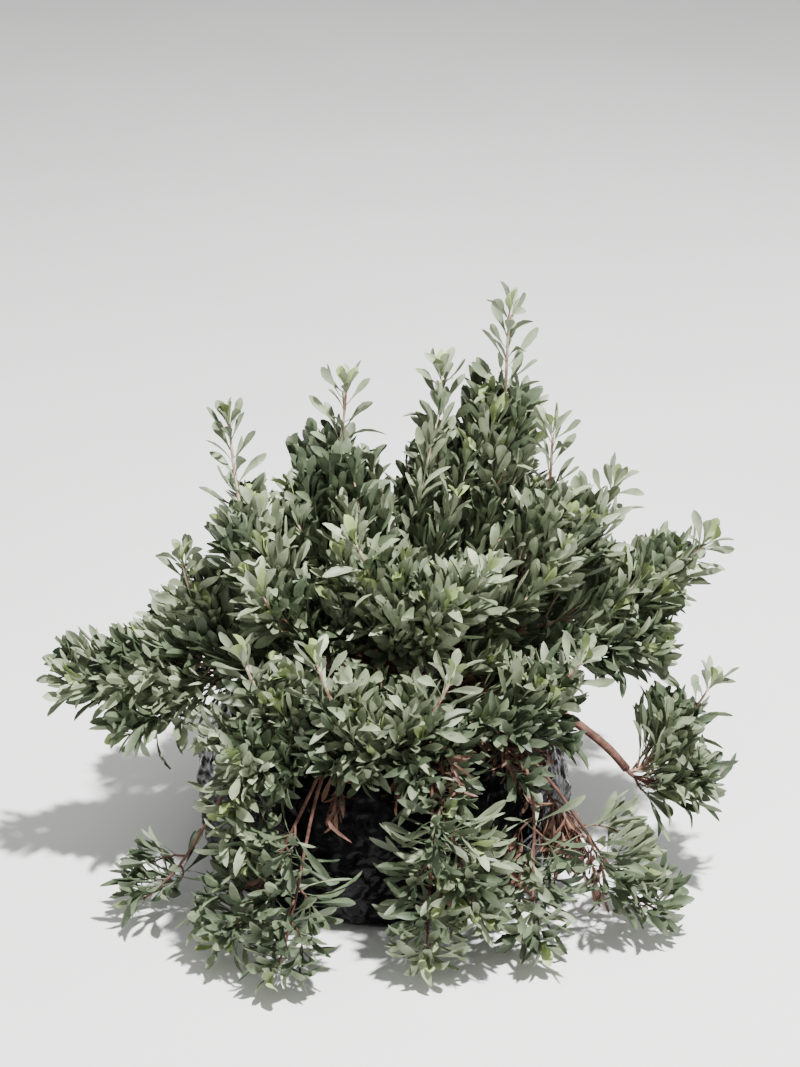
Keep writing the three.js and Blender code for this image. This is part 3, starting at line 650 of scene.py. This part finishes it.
def grow_shoot(mass, room, control, place, longest, tint, step, leaves, tubes):
    """A leafy shoot beside its stem or bough, or a single leaf where no shoot has room."""
    start = bezier(control, place)
    here = frame_at(control, place, mass["side"])
    out = outward(here, step * GOLDEN_ANGLE + mass["seed"] * SEED_TURN)
    dead = tint == DEAD
    curve, length = shoot_curve(mass, room, start, here[0], out, longest, dead, step)
    if curve is None:
        grow_leaf(mass, room, start, here, step * GOLDEN_ANGLE, LONE_LEAF_LEAN, 1, tint, leaves)
        return
    frames = carried_frames([tangent(curve, at) for at in SHOOT_PLACES], here[1] + out * SHOOT_FRAME_TILT)
    radii = [SHOOT_RADIUS + (SHOOT_TIP_RADIUS - SHOOT_RADIUS) * at for at in SHOOT_PLACES]
    tubes.append(Tube([bezier(curve, at) for at in SHOOT_PLACES], frames, radii, SHOOT_SIDES))
    count = max(FEWEST_SHOOT_LEAVES, round(length / SHOOT_LEAF_PITCH))
    for i in range(count):
        at = min(SHOOT_LEAF_FROM + (1 - SHOOT_LEAF_FROM) * (i + 1) / count, 1)
        late = i / count
        size = ramp(SHOOT_LEAF_SIZE, late) * (DEAD_SIZE if dead else 1)
        grow_leaf(mass, room, bezier(curve, at), frame_at(curve, at, frames[0][1]),
                  i * GOLDEN_ANGLE + step * STEP_TURN, ramp(SHOOT_LEAF_LEAN, late), size, tint, leaves)
    ring = frame_at(curve, 1, frames[0][1])
    for i in range(END_LEAVES):
        grow_leaf(mass, room, curve[2], ring, i * GOLDEN_ANGLE + END_LEAF_TURN, ramp(END_LEAF_LEAN, i),
                  ramp(END_LEAF_SIZE, i), tint_of_end(mass, tint, step), leaves)


def stem_tube(mass):
    """The stem of a mass, thinner where it ends low."""
    control = mass["control"]
    places = [mass["share"] * i / STEM_STEPS for i in range(STEM_STEPS + 1)]
    frames = carried_frames([tangent(control, place) for place in places], mass["side"])
    thick = STEM_RADIUS - LOW_STEM_LOSS * low_share(mass)
    radii = [thick + (STEM_TIP_RADIUS - thick) * i / STEM_STEPS for i in range(STEM_STEPS + 1)]
    return Tube([bezier(control, place) for place in places], frames, radii, STEM_SIDES)


def grow_stem_shoots(mass, room, dense, reach, leaves, tubes):
    first = mass["bare"] * BARE_KEPT + LOW_BARE * low_share(mass)
    last = ramp(LAST_SHOOT, steepness(mass))
    pitch = SHOOT_PITCH * (DENSE_PITCH if dense else ramp(LOW_PITCH, low_share(mass)))
    shoots = round(mass["length"] * mass["share"] * (last - first) / pitch)
    for step in range(shoots):
        place = mass["share"] * (first + (last - first) * (step + 0.5) / shoots)
        longest = min(reach * girth_at(mass, place) + SHOOT_PAST_GIRTH, shoot_limit(mass, place))
        grow_shoot(mass, room, mass["control"], place, longest, tint_of_shoot(mass, place, step), step,
                   leaves, tubes)


def grow_bough_shoots(mass, room, reach, leaves, tubes):
    longest = BOUGH_SHOOT_LENGTH * reach * ramp(NEAR_SHOOT_LENGTH, nearness(mass))
    for step in range(round(BOUGH_SHOOTS * ramp(BOUGH_SHOOT_SHARE, low_share(mass)))):
        place = 1 - BOUGH_SHOOT_PITCH * (step + draw(mass, "bough_place", step))
        tint = tint_of_shoot(mass, 0, step + BOUGH_TINT_STEP)
        grow_shoot(mass, room, mass["bough"]["control"], place, longest, tint, step, leaves, tubes)


def grow_stem_leaves(mass, room, tint, leaves):
    bare = max(mass["bare"] + LOW_BARE * low_share(mass), STEM_LEAVES_FROM)
    leafy = mass["length"] * mass["share"] * (1 - bare)
    for step in range(round(leafy / STEM_LEAF_PITCH)):
        place = mass["share"] * (bare + (1 - bare) * step * STEM_LEAF_PITCH / leafy)
        grow_leaf(mass, room, bezier(mass["control"], place), frame_at(mass["control"], place, mass["side"]),
                  step * GOLDEN_ANGLE + STEM_LEAF_TURN, ramp(STEM_LEAF_LEAN, place),
                  ramp(STEM_LEAF_SIZE, place), tint, leaves)


def tint_of_tip(mass, late):
    if mass["name"] == DEAD_MASS:
        return DEAD
    if late > YOUNG_TIP_FROM:
        return YOUNG
    # Crown tips take the pale tone, which is painted light, and low tips take the grey.
    return GREY if low_share(mass) > LOW_FROM else PALE_LIT


def grow_tip_leaves(mass, room, ring, leaves):
    for step in range(TIP_LEAVES):
        late = step / TIP_LEAVES
        root = bezier(mass["control"], mass["share"] * ramp(TIP_LEAF_PLACE, late))
        grow_leaf(mass, room, root, ring, step * GOLDEN_ANGLE, ramp(TIP_LEAF_LEAN, late),
                  ramp(TIP_LEAF_SIZE, late), tint_of_tip(mass, late), leaves)


def grow_mass(mass, room):
    stem = stem_tube(mass)
    leaves, tubes = [], [stem]
    dead = mass["name"] == DEAD_MASS
    dense = dead or mass["bough"]["name"] == BARE_BOUGH
    reach = ramp(SHOOT_REACH, steepness(mass))
    grow_stem_shoots(mass, room, dense, reach, leaves, tubes)
    if not dense:
        grow_bough_shoots(mass, room, reach, leaves, tubes)
    grow_stem_leaves(mass, room, DEAD if dead else GREY, leaves)
    grow_tip_leaves(mass, room, stem.frames[-1], leaves)
    return leaves, tubes


# Meshes.

def make_piece(name, vertices, faces, materials, face_materials=None, sharp=0):
    mesh = bpy.data.meshes.new(name)
    mesh.from_pydata((np.asarray(vertices) * MM).tolist(), [], faces)
    for material in materials:
        mesh.materials.append(material)
    if face_materials is not None:
        mesh.polygons.foreach_set("material_index", face_materials)
    mesh.polygons.foreach_set("use_smooth", [True] * len(mesh.polygons))
    if sharp:
        mesh.set_sharp_from_angle(angle=radians(sharp))
    mesh.update()
    piece = bpy.data.objects.new(name, mesh)
    bpy.context.scene.collection.objects.link(piece)
    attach(piece, "root")
    return piece


def leaf_faces():
    """One leaf's faces: four sides between stations, a cap at its base and four faces at its tip."""
    quads = [[0, 1, 2, 3]]
    last = len(LEAF_STATIONS) - 1
    for station in range(last):
        for side in range(4):
            a = station * 4 + side
            b = station * 4 + (side + 1) % 4
            quads.append([b, a, a + 4, b + 4])
    tip = (last + 1) * 4
    tris = [[last * 4 + (side + 1) % 4, last * 4 + side, tip] for side in range(4)]
    return np.array(quads), np.array(tris)


def leaf_vertices(leaves):
    """Stations have a left edge, a top, a right edge and an underside; the edges stand a little proud."""
    rows = Leaf(*(np.array(values) for values in zip(*leaves)))
    along_leaf, aside, lift = [], [], []
    for place, width in zip(LEAF_STATIONS, LEAF_HALF_WIDTHS):
        bow = rows.curl * rows.length * (place * (1 - place) * CURL_ARCH - place * place * CURL_DROP)
        fold = rows.half * width * LEAF_FOLD
        angle = rows.roll * place
        for sideways, up in ((-1, fold), (0, LEAF_THICKNESS / 2), (1, fold), (0, -LEAF_THICKNESS / 2)):
            flat = sideways * rows.half * width
            along_leaf.append(place * rows.length)
            aside.append(flat * np.cos(angle) - up * np.sin(angle))
            lift.append(bow + flat * np.sin(angle) + up * np.cos(angle))
    along_leaf.append(rows.length)
    aside.append(0 * rows.length)
    lift.append(-rows.curl * rows.length * CURL_DROP)
    along_leaf, aside, lift = (np.stack(values, axis=1)[..., None] for values in (along_leaf, aside, lift))
    ahead = rows.root[:, None] + rows.way[:, None] * along_leaf
    return ahead + rows.across[:, None] * aside + rows.over[:, None] * lift


def leaf_piece(name, leaves, materials):
    vertices = leaf_vertices(leaves)
    quads, tris = leaf_faces()
    starts = np.arange(len(leaves))[:, None, None] * vertices.shape[1]
    faces = (quads[None] + starts).reshape(-1, 4).tolist() + (tris[None] + starts).reshape(-1, 3).tolist()
    tints = np.array([leaf.tint for leaf in leaves])
    face_tints = np.concatenate([np.repeat(tints, len(quads)), np.repeat(tints, len(tris))]).tolist()
    return make_piece(name, vertices.reshape(-1, 3), faces, materials, face_tints, sharp=LEAF_EDGE_ANGLE)


def tube_mesh(tubes, relief=None):
    vertices, faces = [], []
    for points, frames, radii, sides in tubes:
        first = len(vertices)
        for point, frame_here, radius in zip(points, frames, radii):
            for side in range(sides):
                out = outward(frame_here, 360 * side / sides)
                grow = relief(point + out * radius) if relief else 0
                vertices.append(point + out * (radius + grow))
        rings = len(points)
        for ring in range(rings - 1):
            for side in range(sides):
                a = first + ring * sides + side
                b = first + ring * sides + (side + 1) % sides
                faces.append([a, b, b + sides, a + sides])
        faces.append([first + side for side in reversed(range(sides))])
        faces.append([first + (rings - 1) * sides + side for side in range(sides)])
    return vertices, faces


def bark_relief(point):
    spot = Vector([value * close for value, close in zip(point, BARK_CLOSE)])
    crack = max(0, 1 - abs(noise.noise(spot * CRACK_CLOSE)) / CRACK_WIDTH)
    return BARK_RISE * noise.noise(spot) - CRACK_DEPTH * crack


def bough_relief(point):
    return BOUGH_RELIEF * bark_relief(point)


def bough_piece(bough, bark):
    places = [i / BOUGH_RINGS for i in range(BOUGH_RINGS + 1)]
    frames = carried_frames([tangent(bough["control"], place) for place in places], np.array([0, 0, 1.0]))
    radii = [bough["radius"] + (BOUGH_TIP_RADIUS - bough["radius"]) * place for place in places]
    points = [bezier(bough["control"], place) for place in places]
    vertices, faces = tube_mesh([Tube(points, frames, radii, BOUGH_SIDES)], bough_relief)
    piece = make_piece("bark_" + bough["name"], vertices, faces, [bark])
    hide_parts("bough_" + bough["name"])


def trunk_piece(bark):
    heights = [TRUNK_HEIGHT * i / TRUNK_RINGS for i in range(TRUNK_RINGS + 1)]
    points = [trunk_point(SOIL_LEVEL + GAP + height) for height in heights]
    frames = [(np.array([0, 0, 1.0]), np.array([1.0, 0, 0]), np.array([0, 1.0, 0]))] * len(heights)
    radii = [along(TRUNK_RADII, height) for height in heights]
    vertices, faces = tube_mesh([Tube(points, frames, radii, TRUNK_SIDES)], bark_relief)
    piece = make_piece("trunk_bark", vertices, faces, [bark])
    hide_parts("trunk")


def foliage_pieces(mass, leaves, tubes, leaf_materials, twig_material):
    crown = leaf_piece("leaves_" + mass["name"], leaves, leaf_materials)
    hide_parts("foliage_" + mass["name"])
    vertices, faces = tube_mesh(tubes)
    twigs = make_piece("twigs_" + mass["name"], vertices, faces, [twig_material])
    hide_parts("foliage_" + mass["name"])


# Bag and soil.

def waves(rows, angle, height):
    return sum(depth * math.sin(count * angle + start + height * turn) for depth, count, start, turn in rows)


def bag_crease(angle, height):
    """The slump and folds of the part's source."""
    folds = waves(BAG_FOLDS, angle, height) * min(1, FOLDS_AT_FOOT + height / FOLDS_GROWTH)
    return waves(BAG_SLUMP, angle, height) + folds - BAG_INSET


def ridge(spot):
    return 1 - 2 * abs(noise.noise(spot)) - RIDGE_LEVEL


def crinkle(angle, height):
    """Sharp crumples of thin film: ridges of three scales that lean across each other."""
    ring = Vector((math.cos(angle), math.sin(angle), 0)) * CRINKLE_ROUND
    spot = ring + Vector((0, 0, height * CRINKLE_RISE))
    bend = noise.noise(spot * BEND_CLOSE) * BEND
    coarse = ridge(spot + Vector((bend, 0, bend)))
    fine = ridge(spot * FINE_CLOSE + Vector((0, bend, FINE_LAYER)))
    rise = height * FINEST_RISE + FINEST_BEND * bend
    finest = ridge(Vector((spot[0] * FINEST_CLOSE, spot[1] * FINEST_CLOSE, rise)))
    depths = sum(depth * swell for depth, swell in zip(CRINKLE_DEPTHS, (coarse, fine, finest)))
    return min(1, height / CRINKLE_FADE) * depths


def bag_reach(angle, height):
    return along(BAG_OUTSIDE, height) + bag_crease(angle, height) + crinkle(angle, height)


def lip_dip(angle, height):
    """How far the rim droops, which it does unevenly."""
    if height <= BAG_HEIGHT - LIP_HEIGHT:
        return 0
    return min(0, LIP_DIP * noise.noise(Vector((math.cos(angle), math.sin(angle), LIP_LAYER)) * LIP_CLOSE))


def bag_piece(film):
    """The outside from the foot up, then over the rim and down the inside to below the soil's top."""
    rows = [(BAG_HEIGHT * i / BAG_ROWS, 0) for i in range(BAG_ROWS + 1)]
    rows += [(BAG_HEIGHT + RIM_RISE, BAG_FILM / 2), (BAG_HEIGHT, BAG_FILM),
             (BAG_HEIGHT - LIP_INSIDE, BAG_FILM), (SOIL_LEVEL - FILM_BELOW_SOIL, BAG_FILM)]
    vertices, faces = [], []
    for height, inset in rows:
        for column in range(BAG_COLUMNS):
            angle = 2 * math.pi * column / BAG_COLUMNS
            reach = bag_reach(angle, min(height, BAG_HEIGHT)) - inset
            level = max(0, height + lip_dip(angle, height))
            vertices.append((reach * math.cos(angle), reach * math.sin(angle), level))
    for row in range(len(rows) - 1):
        for column in range(BAG_COLUMNS):
            a = row * BAG_COLUMNS + column
            b = row * BAG_COLUMNS + (column + 1) % BAG_COLUMNS
            faces.append([a, b, b + BAG_COLUMNS, a + BAG_COLUMNS])
    faces.append(list(reversed(range(BAG_COLUMNS))))
    piece = make_piece("bag_film", vertices, faces, [film])
    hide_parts("grow_bag")


def soil_height(x, y):
    reach = math.hypot(x, y)
    base = np.interp(reach, [row[0] for row in SOIL_TOP], [row[1] for row in SOIL_TOP])
    lumps = sum(rise * noise.noise(Vector((x, y, layer)) * close) for rise, layer, close in SOIL_LUMPS)
    return SOIL_LEVEL + base + lumps


def soil_piece(earth):
    """A lumpy top of rings round a middle point, closed by a wall and a floor."""
    vertices, faces = [(0, 0, soil_height(0, 0))], []
    angles = [2 * math.pi * column / SOIL_COLUMNS for column in range(SOIL_COLUMNS)]
    for ring in range(1, SOIL_RINGS + 1):
        for angle in angles:
            edge = bag_reach(angle, SOIL_EDGE_HEIGHT) - BAG_FILM - SOIL_EDGE_GAP
            x = edge * ring / SOIL_RINGS * math.cos(angle)
            y = edge * ring / SOIL_RINGS * math.sin(angle)
            vertices.append((x, y, soil_height(x, y)))
    top_edge = 1 + (SOIL_RINGS - 1) * SOIL_COLUMNS
    floor = len(vertices)
    reach = along(BAG_OUTSIDE, SOIL_FOOT) - SOIL_FOOT_INSET
    for angle in angles:
        vertices.append((reach * math.cos(angle), reach * math.sin(angle), SOIL_FOOT))
    for column in range(SOIL_COLUMNS):
        following = (column + 1) % SOIL_COLUMNS
        faces.append([0, 1 + column, 1 + following])
        for ring in range(SOIL_RINGS - 1):
            a = 1 + ring * SOIL_COLUMNS + column
            b = 1 + ring * SOIL_COLUMNS + following
            faces.append([a, a + SOIL_COLUMNS, b + SOIL_COLUMNS, b])
    for column in range(SOIL_COLUMNS):
        following = (column + 1) % SOIL_COLUMNS
        faces.append([top_edge + column, floor + column, floor + following, top_edge + following])
    faces.append([floor + column for column in reversed(range(SOIL_COLUMNS))])
    piece = make_piece("soil_fill", vertices, faces, [earth])
    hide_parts("soil")


def litter_leaf(i):
    """A dead leaf that lies on the soil. Its piece has one material, so its tint is 0."""
    turn, far, facing, slope, tipped, high, long, wide = (
        chance(LITTER_SEED + kind, i) for kind in range(1, 9))
    angle = 2 * math.pi * turn
    reach = ramp(LITTER_REACH, math.sqrt(far))
    x, y = reach * math.cos(angle), reach * math.sin(angle)
    heading = 2 * math.pi * facing
    climb = LITTER_SLOPE * (slope - LITTER_SLOPE_CENTRE)
    way = unit(np.array([math.cos(heading), math.sin(heading), climb]))
    tilt = (tipped - 0.5) * LITTER_TILT
    side = unit(np.cross([0, 0, 1.0], way))
    across = unit(side * math.cos(tilt) + raised(math.sin(tilt)))
    root = np.array([x, y, soil_height(x, y) + LITTER_LIFT[0] + LITTER_LIFT[1] * high])
    return Leaf(root, way, across, np.cross(way, across), ramp(LITTER_LENGTH, long),
                ramp(LITTER_HALF_WIDTH, wide), LITTER_CURL, LITTER_ROLL, 0)


def litter_piece(materials):
    leaves = []
    for i in range(LITTER_LEAVES):
        leaf = litter_leaf(i)
        end = leaf.root + leaf.way * leaf.length
        if math.hypot(end[0], end[1]) < LITTER_EDGE:
            leaves.append(leaf)
    piece = leaf_piece("leaf_litter", leaves, materials)


# Materials: two tones mixed by noise, with fine relief on bark, film and soil.

TONE_STOPS = (0.34, 0.68)
TONE_DETAIL = 5
RELIEF_DETAIL = 4
RELIEF_STRENGTH = 0.6


def mix_tones(nodes, links, pattern, tones):
    mix = nodes.new("ShaderNodeValToRGB")
    for stop, position, tone in zip(mix.color_ramp.elements, TONE_STOPS, tones):
        stop.position = position
        stop.color = (*tone, 1)
    links.new(pattern.outputs["Fac"], mix.inputs["Fac"])
    return mix.outputs["Color"]


def vary_by_island(nodes, links, colour, spread):
    """Each leaf or twig is a little lighter or darker than the next."""
    own = nodes.new("ShaderNodeNewGeometry")
    shift = nodes.new("ShaderNodeMapRange")
    shift.inputs["To Min"].default_value = 1 - spread
    shift.inputs["To Max"].default_value = 1 + spread
    tone = nodes.new("ShaderNodeHueSaturation")
    links.new(own.outputs["Random Per Island"], shift.inputs["Value"])
    links.new(shift.outputs["Result"], tone.inputs["Value"])
    links.new(colour, tone.inputs["Color"])
    return tone.outputs["Color"]


def vary_shine(nodes, links, pattern, shader, roughness):
    shine = nodes.new("ShaderNodeMapRange")
    shine.inputs["To Min"].default_value = roughness[0]
    shine.inputs["To Max"].default_value = roughness[1]
    links.new(pattern.outputs["Fac"], shine.inputs["Value"])
    links.new(shine.outputs["Result"], shader.inputs["Roughness"])


def add_relief(nodes, links, place, shader, relief, relief_scale):
    grain = nodes.new("ShaderNodeTexNoise")
    grain.inputs["Scale"].default_value = relief_scale
    grain.inputs["Detail"].default_value = RELIEF_DETAIL
    bump = nodes.new("ShaderNodeBump")
    bump.inputs["Strength"].default_value = RELIEF_STRENGTH
    bump.inputs["Distance"].default_value = relief
    links.new(place.outputs["Object"], grain.inputs["Vector"])
    links.new(grain.outputs["Fac"], bump.inputs["Height"])
    links.new(bump.outputs["Normal"], shader.inputs["Normal"])


def material(name, tones, roughness, scale, relief=0.0, relief_scale=0.0, island=0.0, specular=0.4):
    made = bpy.data.materials.new(name)
    made.use_nodes = True
    nodes, links = made.node_tree.nodes, made.node_tree.links
    shader = nodes["Principled BSDF"]
    shader.inputs["Specular IOR Level"].default_value = specular
    place = nodes.new("ShaderNodeTexCoord")
    pattern = nodes.new("ShaderNodeTexNoise")
    pattern.inputs["Scale"].default_value = scale
    pattern.inputs["Detail"].default_value = TONE_DETAIL
    links.new(place.outputs["Object"], pattern.inputs["Vector"])
    colour = mix_tones(nodes, links, pattern, tones)
    if island:
        colour = vary_by_island(nodes, links, colour, island)
    links.new(colour, shader.inputs["Base Color"])
    vary_shine(nodes, links, pattern, shader, roughness)
    if relief:
        add_relief(nodes, links, place, shader, relief, relief_scale)
    return made


# Leaf tones are grey, deep, pale, young and dead. The deep tone is painted shade and the pale tone is painted
# light: darker and lighter copies of the grey.
LEAF_TONES = (
    ((0.120, 0.152, 0.086), (0.235, 0.276, 0.170)),
    ((0.050, 0.073, 0.038), (0.125, 0.158, 0.091)),
    ((0.190, 0.228, 0.142), (0.330, 0.370, 0.246)),
    ((0.200, 0.266, 0.095), (0.340, 0.410, 0.175)),
    ((0.068, 0.031, 0.021), (0.205, 0.108, 0.074)),
)
LEAF_SPREADS = (0.32, 0.32, 0.32, 0.32, 0.5)
STEM_TONES = ((0.30, 0.13, 0.08), (0.60, 0.54, 0.40))
BARK_TONES = ((0.062, 0.027, 0.020), (0.175, 0.084, 0.060))
FILM_TONES = ((0.002, 0.002, 0.002), (0.007, 0.007, 0.008))
EARTH_TONES = ((0.018, 0.011, 0.007), (0.075, 0.042, 0.024))
FLOOR_TONES = ((0.80, 0.80, 0.79), (0.84, 0.84, 0.83))

leaf_materials = [
    material(name, tones, roughness=(0.42, 0.6), scale=60, island=spread)
    for name, tones, spread in zip(TINTS, LEAF_TONES, LEAF_SPREADS)
]
stem_bark = material("stem", STEM_TONES, roughness=(0.55, 0.75), scale=110, island=0.15)
bark = material("bark", BARK_TONES, roughness=(0.75, 0.95), scale=120, relief=0.0012, relief_scale=420)
film = material("film", FILM_TONES, roughness=(0.14, 0.26), scale=30, relief=0.002, relief_scale=85,
                specular=0.08)
earth = material("earth", EARTH_TONES, roughness=(0.85, 1.0), scale=130, relief=0.003, relief_scale=260)

# The plant.

boughs = [grow_bough(row) for row in BOUGHS]
masses = plan_stems(boughs)
set_stems(masses, boughs)
room = set_room(masses, boughs)

bag_piece(film)
soil_piece(earth)
trunk_piece(bark)
for bough in boughs:
    bough_piece(bough, bark)
litter_piece([leaf_materials[DEAD]])

for mass in masses:
    leaves, tubes = grow_mass(mass, room)
    foliage_pieces(mass, leaves, tubes, leaf_materials, bark if low_share(mass) > LOW_FROM else stem_bark)

# Stage, light and camera, in metres.

FLOOR_HALF = 6
WORLD_STRENGTH = 0.5
MIDDLE = (0, 0, 0.25)
CAMERA_PLACE = (0.015, -2.073, 1.305)
CAMERA_TILT = 64.8
CAMERA_LENS = 82.66
SENSOR_WIDTH = 36

floor_corners = [(x * FLOOR_HALF, y * FLOOR_HALF, 0) for x, y in ((-1, -1), (1, -1), (1, 1), (-1, 1))]
floor_mesh = bpy.data.meshes.new("floor")
floor_mesh.from_pydata(floor_corners, [], [[0, 1, 2, 3]])
floor_mesh.materials.append(material("floor", FLOOR_TONES, roughness=(0.85, 0.95), scale=2))
floor = bpy.data.objects.new("floor", floor_mesh)
bpy.context.scene.collection.objects.link(floor)

world = bpy.data.worlds.new("studio")
world.use_nodes = True
world.node_tree.nodes["Background"].inputs["Color"].default_value = (1, 1, 1, 1)
world.node_tree.nodes["Background"].inputs["Strength"].default_value = WORLD_STRENGTH
bpy.context.scene.world = world


def area_light(name, place, aim, size, power):
    data = bpy.data.lights.new(name, "AREA")
    data.size = size
    data.energy = power
    light = bpy.data.objects.new(name, data)
    light.location = place
    light.rotation_euler = (Vector(aim) - Vector(place)).to_track_quat("-Z", "Y").to_euler()
    bpy.context.scene.collection.objects.link(light)


area_light("key", place=(0.6, -0.62, 2.95), aim=MIDDLE, size=0.14, power=312)
area_light("fill", place=(-1.2, -1.9, 1.3), aim=MIDDLE, size=1.8, power=7)
area_light("back", place=(0.6, 2.0, 1.9), aim=(0, 0, 0.3), size=1.4, power=18)

camera_data = bpy.data.cameras.new("camera")
camera_data.sensor_width = SENSOR_WIDTH
camera_data.lens = CAMERA_LENS
camera = bpy.data.objects.new("camera", camera_data)
camera.location = CAMERA_PLACE
camera.rotation_euler = (radians(CAMERA_TILT), 0, 0)
bpy.context.scene.collection.objects.link(camera)
bpy.context.scene.camera = camera
